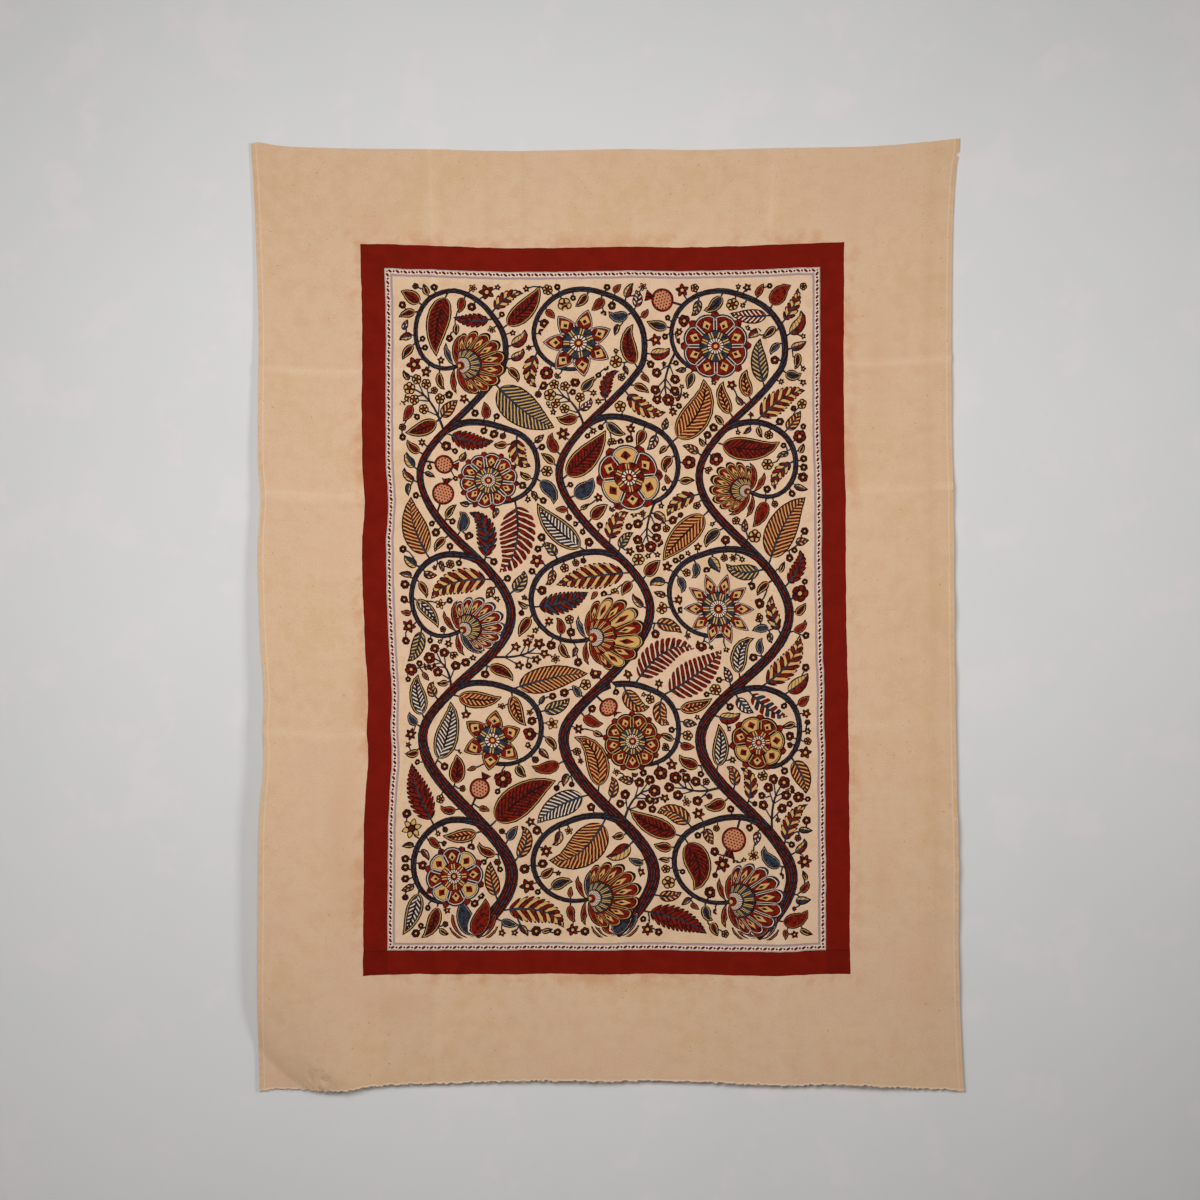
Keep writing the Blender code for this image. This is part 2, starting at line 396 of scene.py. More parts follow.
def scrollPath(leave, centre, wide, tall, endReach, side, sweep):  # a spiral from the vine to its flower
    first = math.atan2(leave.y - centre.y, leave.x - centre.x)
    far = (leave - centre).length
    points = []
    for i in range(1, 13):
        share = i / 12
        angle = first + side * math.radians(sweep) * share
        c, s = math.cos(angle), math.sin(angle)
        ring = wide * tall / math.hypot(tall * c, wide * s)
        reach = far + (ring - far) * eased(share / 0.28)
        reach += (endReach - reach) * eased((share - 0.30) / 0.70)
        points.append(centre + Vector((c, s)) * reach)
    return points


def drawVines():
    columns, bends = vines["columns"], vines["bends"]
    rise = field["height"] / bends
    lastLeave = (bends - 0.62) * rise
    for column in range(columns):
        for bend in range(bends):
            side = 1 if bend % 2 == 0 else -1  # which way the vine bulges here
            level = (bend + 0.5) * rise
            near = vineAt(column, level).x
            if 0 <= column - side < columns:
                far = vineAt(column - side, level).x
            else:
                far = 0.0 if side > 0 else field["width"]
            room = abs(near - far) / 2
            centre = Vector(((near + far) / 2, level + dice.uniform(-0.004, 0.004)))
            radius = flowers["sizes"][(column * 2 + bend) % len(flowers["sizes"])] * min(1.0, room / 0.108)
            wide, tall = room - 0.019, rise / 2 - 0.019
            last = bend == bends - 1
            if last:  # the vine itself ends in its last scroll
                steps = bends * 6
                before = [vineAt(column, vines["rootUp"] + (lastLeave - vines["rootUp"]) * i / steps)
                          for i in range(steps + 1)]
            else:
                leaveAt = (bend + 0.86) * rise
                before = [vineAt(column, leaveAt - 0.026), vineAt(column, leaveAt)]
            scroll = scrollPath(before[-1], centre, wide, tall, radius * 0.72, side,
                                vines["lastSweep"] if last else vines["sweep"])
            addStem(before + scroll, vines["rootHalfWidth"] if last else vines["scrollHalfWidth"] * 1.2,
                    vines["scrollTipHalfWidth"])
            sort = (1, 2, 3, 1, 3)[(column * 2 + bend) % 5]
            heading = (scroll[-1] - scroll[-2]).normalized()
            turn = math.atan2(heading.y, heading.x) - math.pi / 2
            petals = (8, 6, 7, 10, 9)[(column * 3 + bend) % 5]
            if sort == 3:
                centre = scroll[-1] + heading * radius * 0.62
                petals = 9
                for angle, length in ((100, 0.052), (138, 0.046), (-100, 0.052), (-138, 0.046)):
                    aim = math.atan2(heading.y, heading.x) + math.radians(angle)
                    root = scroll[-1] + heading * 0.003
                    addLeaf(root, aim, length, 0.15, math.copysign(1.1, -angle), 6, dice.random())
            addFlower(centre, radius, turn, sort, dice.random(), petals)
        root = vineAt(column, vines["rootUp"])
        for angle, length in ((32, 0.062), (62, 0.050), (88, 0.042), (118, 0.030)):
            for side in (1, -1):
                aim = math.radians(90 - side * angle)
                addLeaf(root, aim, length, 0.24, side * 0.6, 6, dice.random())
    print("stage:", len(stems), "vines and scrolls")


def stemSites(spacing):  # places along the stems where something may grow, on either side
    sites = []
    for path, widths in list(stems):
        headings = tangents(path)
        for i in range(2, len(path) - 1, max(1, round(spacing / vines["pathStep"]))):
            for side in (1, -1):
                sites.append((path[i], headings[i], widths[i], side))
    dice.shuffle(sites)
    return sites


def drawSprays():  # a curved twig with a small blossom on each short stalk
    sites = stemSites(0.018)
    grown = 0
    for attempt in range(flowers["sprayTries"]):
        base, heading, half, side = sites[attempt % len(sites)]
        angle = math.atan2(heading.y, heading.x) + side * math.radians(dice.uniform(35, 75))
        length = dice.uniform(0.075, 0.095)
        twig = leafPath(base, angle, length, side * dice.choice((-1, 1)) * dice.uniform(0.7, 1.5))
        headings = tangents(twig)
        spots = [(twig[-1], twig[-2], 0.0105)]
        for i in (3, 5, 6):
            for hand in (1, -1):
                aside = Vector((-headings[i].y, headings[i].x)) * hand + headings[i] * 0.5
                spots.append((twig[i] + aside.normalized() * 0.0175, twig[i - 1], 0.0086))
        if not all(isFree(p.x, p.y, r + 0.0014) for p, root, r in spots):
            continue
        if not all(isFree(p.x, p.y, 0.003) for p in twig[2:]):
            continue
        seed, sort = dice.random(), dice.choice((1, 2, 4))
        addStem(twig, 0.0022, 0.0014)
        for p, root, r in spots[1:]:
            addStem([root, p], 0.0013, 0.0011, step=vines["twigStep"])
        for p, root, r in spots:
            addFlower(p, r, dice.uniform(0, 6), sort, seed, 5)
        grown += 1
        if grown == flowers["sprays"]:
            break
    print("stage:", grown, "sprays")


def drawFruits():
    grown = 0
    for base, heading, half, side in stemSites(0.02):
        radius = dice.uniform(0.017, 0.023)
        angle = math.atan2(heading.y, heading.x) + side * math.radians(dice.uniform(45, 95))
        direction = Vector((math.cos(angle), math.sin(angle)))
        p = base + direction * (half + radius + 0.014)
        if isFree(p.x, p.y, radius + 0.003):
            addStem([base, p], 0.0020, 0.0016, step=vines["twigStep"])
            addFlower(p, radius * 1.25, angle - math.pi / 2, 5, dice.random(), 7)
            grown += 1
            if grown == flowers["fruits"]:
                break


def drawLeaves():
    for length in leaves["lengths"]:
        for base, heading, half, side in stemSites(leaves["spacing"]) * leaves["tries"]:
            angle = math.atan2(heading.y, heading.x) + side * math.radians(dice.uniform(28, 100))
            direction = Vector((math.cos(angle), math.sin(angle)))
            root = base + direction * (half * 0.6)
            start = root + direction * (half * 0.9 + length * 0.06)
            large = length > leaves["largeFrom"]
            aspect = dice.uniform(0.19, 0.26) if large else dice.uniform(0.23, 0.31)
            curl = -side * dice.choice((1, 1, -0.7)) * dice.uniform(0.3, 1.5)
            sort = dice.choice((1, 2, 2, 3, 3, 5)) if large else dice.choice((1, 3, 3, 4, 6))
            path = leafPath(start, angle, length, curl)
            if leafFits(path, length, aspect):
                addStem([root, start + direction * length * 0.08], vines["twigHalfWidth"], 0.0012,
                        mark=False, step=vines["twigStep"])
                addLeaf(start, angle, length, aspect, curl, sort, dice.random())
                if dice.random() < 0.3:
                    addTendril(base, heading, half, -side)
    print("stage:", len(leafList), "leaves")


def addTendril(base, heading, half, side):  # a short curl with a round knob
    angle = math.atan2(heading.y, heading.x) + side * math.radians(60)
    curl = [base.copy()]
    for i in range(6):
        angle -= side * 0.62
        curl.append(curl[-1] + Vector((math.cos(angle), math.sin(angle))) * (0.0085 - 0.0009 * i))
    if all(isFree(p.x, p.y, 0.0025) for p in curl[2:]):
        addStem(curl, 0.0018, 0.0013, knob=0.0030, step=vines["curlStep"])


def nearestStem(p):
    best, where = 1e9, None
    for path, widths in stems:
        for q in path:
            gap = (q - p).length
            if gap < best:
                best, where = gap, q
    return best, where


def drawFillers():  # each goes where the most bare cloth is left
    while True:
        i, j = np.unravel_index(np.argmax(clearance), clearance.shape)
        room = clearance[i, j]
        if room < flowers["leastRoom"]:
            break
        p = Vector((i * cell, j * cell))
        radius = min(room - flowers["fillerGap"], flowers["largestFiller"] * dice.uniform(0.6, 1.0))
        gap, root = nearestStem(p)
        away = (p - root).normalized()
        if gap < radius + 0.040:
            aside = Vector((-away.y, away.x)) * dice.uniform(-0.2, 0.2) * gap
            addStem([root, root.lerp(p, 0.5) + aside, p], 0.0014, 0.0012, mark=False, step=vines["twigStep"])
        angle = math.atan2(away.y, away.x)
        if radius > 0.008 and dice.random() < flowers["leafShare"]:  # a curled leaf across the gap
            angle += dice.uniform(-0.5, 0.5)
            length = radius * 2.1
            start = p - Vector((math.cos(angle), math.sin(angle))) * length * 0.48
            addLeaf(start, angle, length, dice.uniform(0.24, 0.32), dice.uniform(-0.8, 0.8),
                    dice.choice((1, 3, 4, 6)), dice.random())
            paintOver(p.x, p.y, radius * 0.5)
        else:
            addFlower(p, radius, angle - math.pi / 2, dice.choice((1, 2, 4)), dice.random(), dice.choice((5, 5, 6)))
    print("stage:", len(flowerList), "flowers")


def wandered(p):  # the hand's drift over the whole drawing
    push = Vector((noise.noise(Vector((p.x * 5, p.y * 5, 11))), noise.noise(Vector((p.x * 5, p.y * 5, 23)))))
    fade = min(p.x, p.y, field["width"] - p.x, field["height"] - p.y) / 0.05
    return p + push * vines["drift"] * eased(fade)


drawVines()
drawSprays()
drawFruits()
drawLeaves()
drawFillers()


def ribbonFaces(path, halves, values):  # two triangles for each step, with a value at each corner
    headings = tangents(path)
    left, right = [], []
    for p, heading, half, (leftValue, rightValue) in zip(path, headings, halves, values):
        aside = Vector((-heading.y, heading.x)) * half
        left.append((p + aside, leftValue))
        right.append((p - aside, rightValue))
    for i in range(len(path) - 1):
        yield left[i], right[i], right[i + 1]
        yield left[i], right[i + 1], left[i + 1]


def stemFaces():
    margin = 0.0012
    for number, (path, widths) in enumerate(stems):
        gone, halves, values = 0.0, [], []
        for i, w in enumerate(widths):
            gone += (path[i] - path[max(i - 1, 0)]).length
            halves.append(w + margin)
            values.append(((gone, w + margin, w), (gone, -w - margin, w)))
        for corners in ribbonFaces(path, halves, values):
            yield corners, (number, 0, 0)


def leafFaces():
    for path, length, aspect, sort, seed in leafList:
        halves, values = [], []
        last = len(path) - 1
        for i in range(last + 1):
            near = max(leafHalf((i + step) / last, length, aspect) for step in (-0.4, 0.0, 0.4))
            half = near + 0.0008 + length * 0.02
            halves.append(half)
            values.append(((i / last, half / length, length), (i / last, -half / length, length)))
        for corners in ribbonFaces(path, halves, values):
            yield corners, (sort, seed, aspect)


def flowerFaces():
    for centre, radius, turn, sort, seed, petals in flowerList:
        sides = 9 if radius > 0.02 else 6
        reach = 1.02 / math.cos(math.pi / sides)
        corners = []
        for i in range(sides):
            angle = math.tau * i / sides
            local = Vector((math.cos(angle), math.sin(angle))) * reach
            place = centre + Vector((
                local.x * math.cos(turn) - local.y * math.sin(turn),
                local.x * math.sin(turn) + local.y * math.cos(turn),
            )) * radius
            corners.append((place, (local.x, local.y, radius)))
        for i in range(1, sides - 1):
            yield (corners[0], corners[i], corners[i + 1]), (sort, seed, petals)


zones = {
    "frameLeft": borders["left"] - 0.030,
    "frameRight": borders["right"] + 0.030,
    "frameTop": borders["top"] - 0.034,
    "frameBottom": borders["bottom"] + 0.030,
    "fieldLeft": field["left"] + 0.0025,
    "fieldRight": field["left"] + field["width"] - 0.0025,
    "fieldTop": borders["top"] + frameDepth + 0.0045,
    "fieldBottom": field["bottom"] - 0.0062,
}


def zoneOf(across, down):  # 0 the painted field, 1 the dyed frame, 2 the plain margin
    if zones["fieldLeft"] < across < zones["fieldRight"] and zones["fieldTop"] < down < zones["fieldBottom"]:
        return 0
    if zones["frameLeft"] < across < zones["frameRight"] and zones["frameTop"] < down < zones["frameBottom"]:
        return 1
    return 2


def gridLines(length, step, kept):  # even lines between the ones that are kept
    lines = [0.0]
    for place in sorted(kept) + [length]:
        start = lines[-1]
        if place - start < 0.003:
            continue
        count = math.ceil((place - start) / step)
        lines += [start + (place - start) * (i + 1) / count for i in range(count)]
    return lines


def settleSlivers(model):  # a sliver's middle point is laid on its longest side, or it stands on edge
    for turn in range(8):
        model.normal_update()
        for face in [face for face in model.faces if face.normal.y > -cloth["steepest"]]:
            longest = max(face.edges, key=lambda edge: (edge.verts[0].co - edge.verts[1].co).xz.length)
            start, end = (v.co for v in longest.verts)
            point = next(v for v in face.verts if v not in longest.verts).co
            along = (end - start).xz
            share = (point - start).xz.dot(along) / max(along.length_squared, 1e-12)
            onSide = start.lerp(end, min(max(share, 0.0), 1.0))
            point.y = onSide.y
            if face.normal.y > 0.0:  # turned over
                point.x, point.z = onSide.x, onSide.z


def buildCloth():
    points, faces, facts = [], [], []
    keptAcross = [zones[name] for name in ("frameLeft", "fieldLeft", "fieldRight", "frameRight")]
    keptDown = [zones[name] for name in ("frameTop", "fieldTop", "fieldBottom", "frameBottom")]
    for crease in creases:
        line = (crease["from"] + crease["to"]) / 2
        kept = keptDown if crease["runs"] == "level" else keptAcross
        kept += [line - 0.005, line, line + 0.005]
    keptDown += [cloth["tearDown"] + cloth["tearHalfHeight"] * i for i in (-1, 0, 1)]
    columns = gridLines(cloth["width"], cloth["columnStep"], keptAcross)
    rows = gridLines(cloth["length"], cloth["rowStep"], keptDown)
    for across in columns:
        for down in rows:
            points.append(Vector((across, -down)))
    for i in range(1, int(cloth["width"] / cloth["edgeStep"])):
        place = i * cloth["edgeStep"]
        if min(abs(place - column) for column in columns) > 0.0011:
            points.append(Vector((place, -cloth["length"])))
    for i in range(1, 24):
        for k in range(1, 24):
            across, up = i * cloth["cornerStep"] + 0.0006, k * cloth["cornerStep"] + 0.0006
            points.append(Vector((across, up - cloth["length"])))
    edges = []
    for zone in ("field", "frame"):  # the zones' outlines are kept as edges
        left, right = zones[zone + "Left"], zones[zone + "Right"]
        top, bottom = -zones[zone + "Top"], -zones[zone + "Bottom"]
        first = len(points)
        points += [Vector((left, top)), Vector((right, top)), Vector((right, bottom)), Vector((left, bottom))]
        edges += [(first + i, first + (i + 1) % 4) for i in range(4)]
    for layer, source in enumerate((stemFaces, leafFaces, flowerFaces)):
        for corners, sort in source():
            flat = [Vector((field["left"], -field["bottom"])) + wandered(p) for p, value in corners]
            inside = [0 < q.x - field["left"] + 0.002 < field["width"] + 0.004 and
                      0 < q.y + field["bottom"] + 0.002 < field["height"] + 0.004 for q in flat]
            if not all(inside):
                continue
            first = len(points)
            points += flat
            faces.append([first, first + 1, first + 2])
            facts.append((layer, flat, [value for p, value in corners], sort))
    parts = delaunay_2d_cdt(points, edges, faces, 0, cloth["snap"])
    outPoints, outFaces, fromFaces = parts[0], parts[2], parts[5]
    print("stage: cloth of", len(outFaces), "triangles")
    for i, face in enumerate(outFaces):  # every face looks into the room
        a, b, c = (outPoints[index] for index in face)
        if (b - a).cross(c - a) < 0.0:
            outFaces[i] = face[::-1]
    mesh = bpy.data.meshes.new("paintedCloth")
    mesh.from_pydata([hung(p.x, -p.y) for p in outPoints], [], outFaces)
    mesh.update()
    corners = len(mesh.loops)
    stemRibbon = np.zeros((corners, 3), np.float32)
    stemUnder = np.zeros((corners, 3), np.float32)  # a stem that another one crosses
    leafPlace = np.zeros((corners, 3), np.float32)
    leafSort = np.zeros((corners, 3), np.float32)
    flowerPlace = np.zeros((corners, 3), np.float32)
    flowerSort = np.zeros((corners, 3), np.float32)
    flat = np.zeros((corners, 2), np.float32)
    corner, finishes = 0, []
    for face, origins in zip(outFaces, fromFaces):
        middle = sum((outPoints[index] for index in face), Vector((0, 0))) / len(face)
        finishes.append(zoneOf(middle.x, -middle.y))
        top, crossing = {}, {}
        for origin in sorted(origins):  # the first drawn lies on top within its layer
            layer, outline, values, sort = facts[origin]
            if min(areaShares(middle, outline)) < -0.02:
                continue
            if layer == 0:
                along, aside, half = insideValue(middle, outline, values)
                found = (abs(aside) > half, origin)  # a painted part goes before a bare rim
                crossing[sort[0]] = min(found, crossing.get(sort[0], found))
            elif layer not in top:
                top[layer] = origin
        stemsHere = sorted(origin for bareRim, origin in sorted(crossing.values())[:2])
        for index in face:
            p = outPoints[index]
            flat[corner] = (p.x, p.y)
            for ribbon, origin in zip((stemRibbon, stemUnder), stemsHere):
                ribbon[corner] = insideValue(p, facts[origin][1], facts[origin][2])
            for layer, origin in top.items():
                value = insideValue(p, facts[origin][1], facts[origin][2])
                if layer == 1:
                    leafPlace[corner], leafSort[corner] = value, facts[origin][3]
                else:
                    flowerPlace[corner], flowerSort[corner] = value, facts[origin][3]
            corner += 1
    for name, data in (("stemRibbon", stemRibbon), ("stemUnder", stemUnder), ("leafPlace", leafPlace),
                       ("leafSort", leafSort), ("flowerPlace", flowerPlace), ("flowerSort", flowerSort)):
        layer = mesh.attributes.new(name, "FLOAT_VECTOR", "CORNER")
        layer.data.foreach_set("vector", data.ravel())
    # how far each point sits on a crease ridge or in a valley, for the painted highlight and shade along the folds
    # as well as their rubbing and dirt
    wearAndShade = mesh.attributes.new("foldWear", "FLOAT", "POINT")
    wearAndShade.data.foreach_set("value", [foldWear(p.x, -p.y) for p in outPoints])
    mesh.polygons.foreach_set("material_index", finishes)
    uv = mesh.uv_layers.new(name="flatCloth")
    uv.data.foreach_set("uv", flat.ravel())
    mesh.shade_smooth()
    model = bmesh.new()
    model.from_mesh(mesh)
    bmesh.ops.dissolve_degenerate(model, dist=cloth["snap"], edges=model.edges)
    bmesh.ops.triangulate(model, faces=[face for face in model.faces if len(face.verts) > 3])
    settleSlivers(model)
    bmesh.ops.dissolve_degenerate(model, dist=0.00002, edges=model.edges)
    for edge in model.edges:
        edge.smooth = not edge.is_boundary
    model.to_mesh(mesh)
    model.free()
    return mesh


def areaShares(p, places):  # how near p is to each corner of a triangle, adding up to 1
    a, b, c = places
    whole = (b - a).cross(c - a)
    shareB = (p - a).cross(c - a) / whole
    shareC = (b - a).cross(p - a) / whole
    return 1.0 - shareB - shareC, shareB, shareC


def insideValue(p, places, values):
    shares = areaShares(p, places)
    return tuple(sum(share * value[k] for share, value in zip(shares, values)) for k in range(3))


clothMesh = buildCloth()
clothPiece = bpy.data.objects.new("paintedCloth", clothMesh)
bpy.context.scene.collection.objects.link(clothPiece)
body = clothPiece.modifiers.new("thickness", "SOLIDIFY")
body.thickness = cloth["thickness"]
body.offset = 0.0
body.material_offset = 3  # the back of each zone
body.material_offset_rim = 4  # the cut edge, which only the margin has


# Shader sums are written as plain arithmetic on wires.
class Wire:
    def __init__(self, tree, socket):
        self.tree, self.socket = tree, socket

    def __add__(self, other):
        return calc("ADD", self, other)

    def __radd__(self, other):
        return calc("ADD", other, self)

    def __sub__(self, other):
        return calc("SUBTRACT", self, other)

    def __rsub__(self, other):
        return calc("SUBTRACT", other, self)

    def __mul__(self, other):
        return calc("MULTIPLY", self, other)

    def __rmul__(self, other):
        return calc("MULTIPLY", other, self)

    def __truediv__(self, other):
        return calc("DIVIDE", self, other)

    def __rtruediv__(self, other):
        return calc("DIVIDE", other, self)

    def __gt__(self, other):
        return calc("GREATER_THAN", self, other)

    def __lt__(self, other):
        return calc("LESS_THAN", self, other)


def calc(operation, *values, clamp=False):
    tree = next(v.tree for v in values if isinstance(v, Wire))
    node = tree.nodes.new("ShaderNodeMath")
    node.operation = operation
    node.use_clamp = clamp
    for socket, value in zip(node.inputs, values):
        plug(tree, socket, value)
    return Wire(tree, node.outputs[0])


def plug(tree, socket, value):
    if isinstance(value, Wire):
        tree.links.new(value.socket, socket)
    else:
        socket.default_value = value


def smaller(a, b):
    return calc("MINIMUM", a, b)


def larger(a, b):
    return calc("MAXIMUM", a, b)


def size(a):
    return calc("ABSOLUTE", a)


def power(a, b):
    return calc("POWER", a, b)


def wave(a):
    return calc("SINE", a)


def part(a):
    return calc("FRACT", a)


def whole(a):
    return calc("FLOOR", a)


def root(a):
    return calc("SQRT", a)


def choose(mask, a, b):
    return a + (b - a) * mask  # a where mask is 0, b where it is 1


def band(a, low, high):
    return (a > low) * (a < high)


def soft(a, low, high):  # a smooth step from low to high
    tree = a.tree
    node = tree.nodes.new("ShaderNodeMapRange")
    node.interpolation_type = "SMOOTHSTEP"
    plug(tree, node.inputs["Value"], a)
    plug(tree, node.inputs["From Min"], low)
    plug(tree, node.inputs["From Max"], high)
    return Wire(tree, node.outputs["Result"])


def split(vector):
    node = vector.tree.nodes.new("ShaderNodeSeparateXYZ")
    plug(vector.tree, node.inputs[0], vector)
    return [Wire(vector.tree, s) for s in node.outputs]


def join(tree, x, y, z=0.0):
    node = tree.nodes.new("ShaderNodeCombineXYZ")
    for socket, value in zip(node.inputs, (x, y, z)):
        plug(tree, socket, value)
    return Wire(tree, node.outputs[0])


def cloud(vector, scale, detail=2.0, roughness=0.5):  # noise from 0 to 1, around 0.5
    node = vector.tree.nodes.new("ShaderNodeTexNoise")
    plug(vector.tree, node.inputs["Vector"], vector)
    node.inputs["Scale"].default_value = scale
    node.inputs["Detail"].default_value = detail
    node.inputs["Roughness"].default_value = roughness
    return Wire(vector.tree, node.outputs[0])


def apart(vector, centre, half):  # distance from a centre, 1 on the oval of these half sizes
    nodes = [vector.tree.nodes.new("ShaderNodeVectorMath") for i in range(2)]
    nodes[0].operation, nodes[1].operation = "MULTIPLY", "DISTANCE"
    plug(vector.tree, nodes[0].inputs[0], vector)
    nodes[0].inputs[1].default_value = (1.0 / half[0], 1.0 / half[1], 0.0)
    plug(vector.tree, nodes[1].inputs[0], Wire(vector.tree, nodes[0].outputs["Vector"]))
    nodes[1].inputs[1].default_value = (centre[0] / half[0], centre[1] / half[1], 0.0)
    return Wire(vector.tree, nodes[1].outputs["Value"])


def tint(mask, a, b, mode="MIX"):  # colour a turned to colour b by mask
    tree = next(v.tree for v in (mask, a, b) if isinstance(v, Wire))
    node = tree.nodes.new("ShaderNodeMix")
    node.data_type = "RGBA"
    node.blend_type = mode
    plug(tree, node.inputs[0], mask)
    plug(tree, node.inputs[6], a)
    plug(tree, node.inputs[7], b)
    return Wire(tree, node.outputs[2])


def makeGroup(name, inputs, outputs):
    tree = bpy.data.node_groups.new(name, "ShaderNodeTree")
    for label, kind in inputs:
        tree.interface.new_socket(label, in_out="INPUT", socket_type=kind)
    for label, kind in outputs:
        tree.interface.new_socket(label, in_out="OUTPUT", socket_type=kind)
    entry, leave = tree.nodes.new("NodeGroupInput"), tree.nodes.new("NodeGroupOutput")
    return tree, {s.name: Wire(tree, s) for s in entry.outputs if s.name}, leave


def placeGroup(tree, group, **values):
    node = tree.nodes.new("ShaderNodeGroup")
    node.node_tree = group
    for label, value in values.items():
        plug(tree, node.inputs[label], value)
    return {s.name: Wire(tree, s) for s in node.outputs}


# Dye numbers: 0 bare, 1 black pen line, 2 indigo, 3 madder red, 4 ochre, 5 resisted white, 6 salmon.
vectorIn, floatOut = "NodeSocketVector", "NodeSocketFloat"


def stemGroup():
    tree, given, leave = makeGroup("stemDye", [("Ribbon", vectorIn), ("Wander", floatOut)], [("Dye", floatOut)])
    along, aside, half = split(given["Ribbon"])
    offset = size(aside) + (given["Wander"] - 0.5) * 0.0012
    inside = (offset < half) * (half > 0.0002)
    streak = part(aside / 0.0084 + wave(along * 61.0) * 0.28 + wave(along * 27.0) * 0.40)
    thick = (half > 0.0030)
    core = (offset < half - 0.0016)
    red = band(streak, 0.48, 0.88) * (half > 0.0056) * core
    pen = larger(band(streak, 0.26, 0.50), (streak > 0.76)) * thick * core
    pen = larger(pen, (offset > half - 0.0014) * (half > 0.0016))
    dye = choose(red, 2.0, 3.0)
    dye = choose(pen, dye, 1.0)
    plug(tree, leave.inputs["Dye"], dye * inside)
    return tree


def leafGroup():
    # Sorts: 1 barred, 2 feathered, 3 drop, 4 halved, 5 fern, 6 sepal.
    tree, given, leave = makeGroup(
        "leafDye", [("Place", vectorIn), ("Sort", vectorIn), ("Wander", floatOut)], [("Dye", floatOut)])
    x, y, length = split(given["Place"])
    sort, seed, aspect = split(given["Sort"])
    y = y + (given["Wander"] - 0.5) * 0.0014 / larger(length, 0.01)
    aside = size(y)
    barred, feather, drop = (sort < 1.5), band(sort, 1.5, 2.5), band(sort, 2.5, 3.5)
    halved, fern, sepal = band(sort, 3.5, 4.5), band(sort, 4.5, 5.5), (sort > 5.5)
    pitch = choose(fern, choose(feather, 0.0066, 0.0076), 0.0092)
    phase = (x - aside * choose(fern, 0.9, 0.5)) * whole(length / pitch) + (y > 0.0) * 0.5
    within = part(phase)
    swell = size(within * 2.0 - 1.0)
    odd = part(whole(phase) * 0.5) * 2.0
    profile = aspect * 2.68 * power(larger(x, 0.0), 0.55) * power(larger(1.0 - x, 0.0), 0.95)
    lobed = profile * (1.0 - power(swell, 3.0) * (feather * 0.26 + fern * 0.30))
    inward = (lobed - aside) * length
    inside = (inward > 0.0) * band(x, 0.0, 1.0)
    blue = (part(seed * 7.31) > 0.70)
    redOrBlue = choose(blue, 3.0, 2.0)
    bars = choose((within < 0.60), choose((part(seed * 6.3) > 0.12), 5.0, 4.0), redOrBlue)
    bars = choose(band(within, 0.50, 0.66), bars, 1.0)
    second = choose((part(seed * 4.9) > 0.65), 4.0, redOrBlue)
    lobes = choose((swell > 0.72), choose(odd, 3.0, second), 1.0)
    leaflets = (swell < 0.74) * choose((swell > 0.46), choose(odd, 3.0, redOrBlue), 1.0)
    rings = choose((inward > 0.0033), 4.0, 1.0)
    rings = choose((inward > 0.0044), rings, redOrBlue)
    veins = (within < 0.34) * (inward > 0.0056) * (length > 0.04)
    rings = choose(veins, rings, choose(blue, choose((part(seed * 9.1) > 0.5), 4.0, 1.0), 5.0))
    rings = choose((aside * length < 0.0014) * band(x, 0.20, 0.84), rings, 1.0)
    veined = choose((within < 0.17), 4.0, 1.0)
    halves = choose((y > 0.0), redOrBlue, veined)
    sepals = choose((inward > 0.0026), choose(blue, 4.0, 5.0), redOrBlue)
    filled = bars * barred + lobes * feather + leaflets * fern + rings * drop + halves * halved + sepals * sepal
    rib = (aside * length < 0.0017 * (1.25 - x)) * (x < 0.94) * (1.0 - drop) * (1.0 - sepal)
    filled = choose(rib, filled, 2.0)
    outlineWidth = barred * 0.0022 + (feather + halved + sepal + drop) * 0.0023
    dye = choose((inward < outlineWidth), filled, 1.0)
    plug(tree, leave.inputs["Dye"], dye * inside)
    return tree


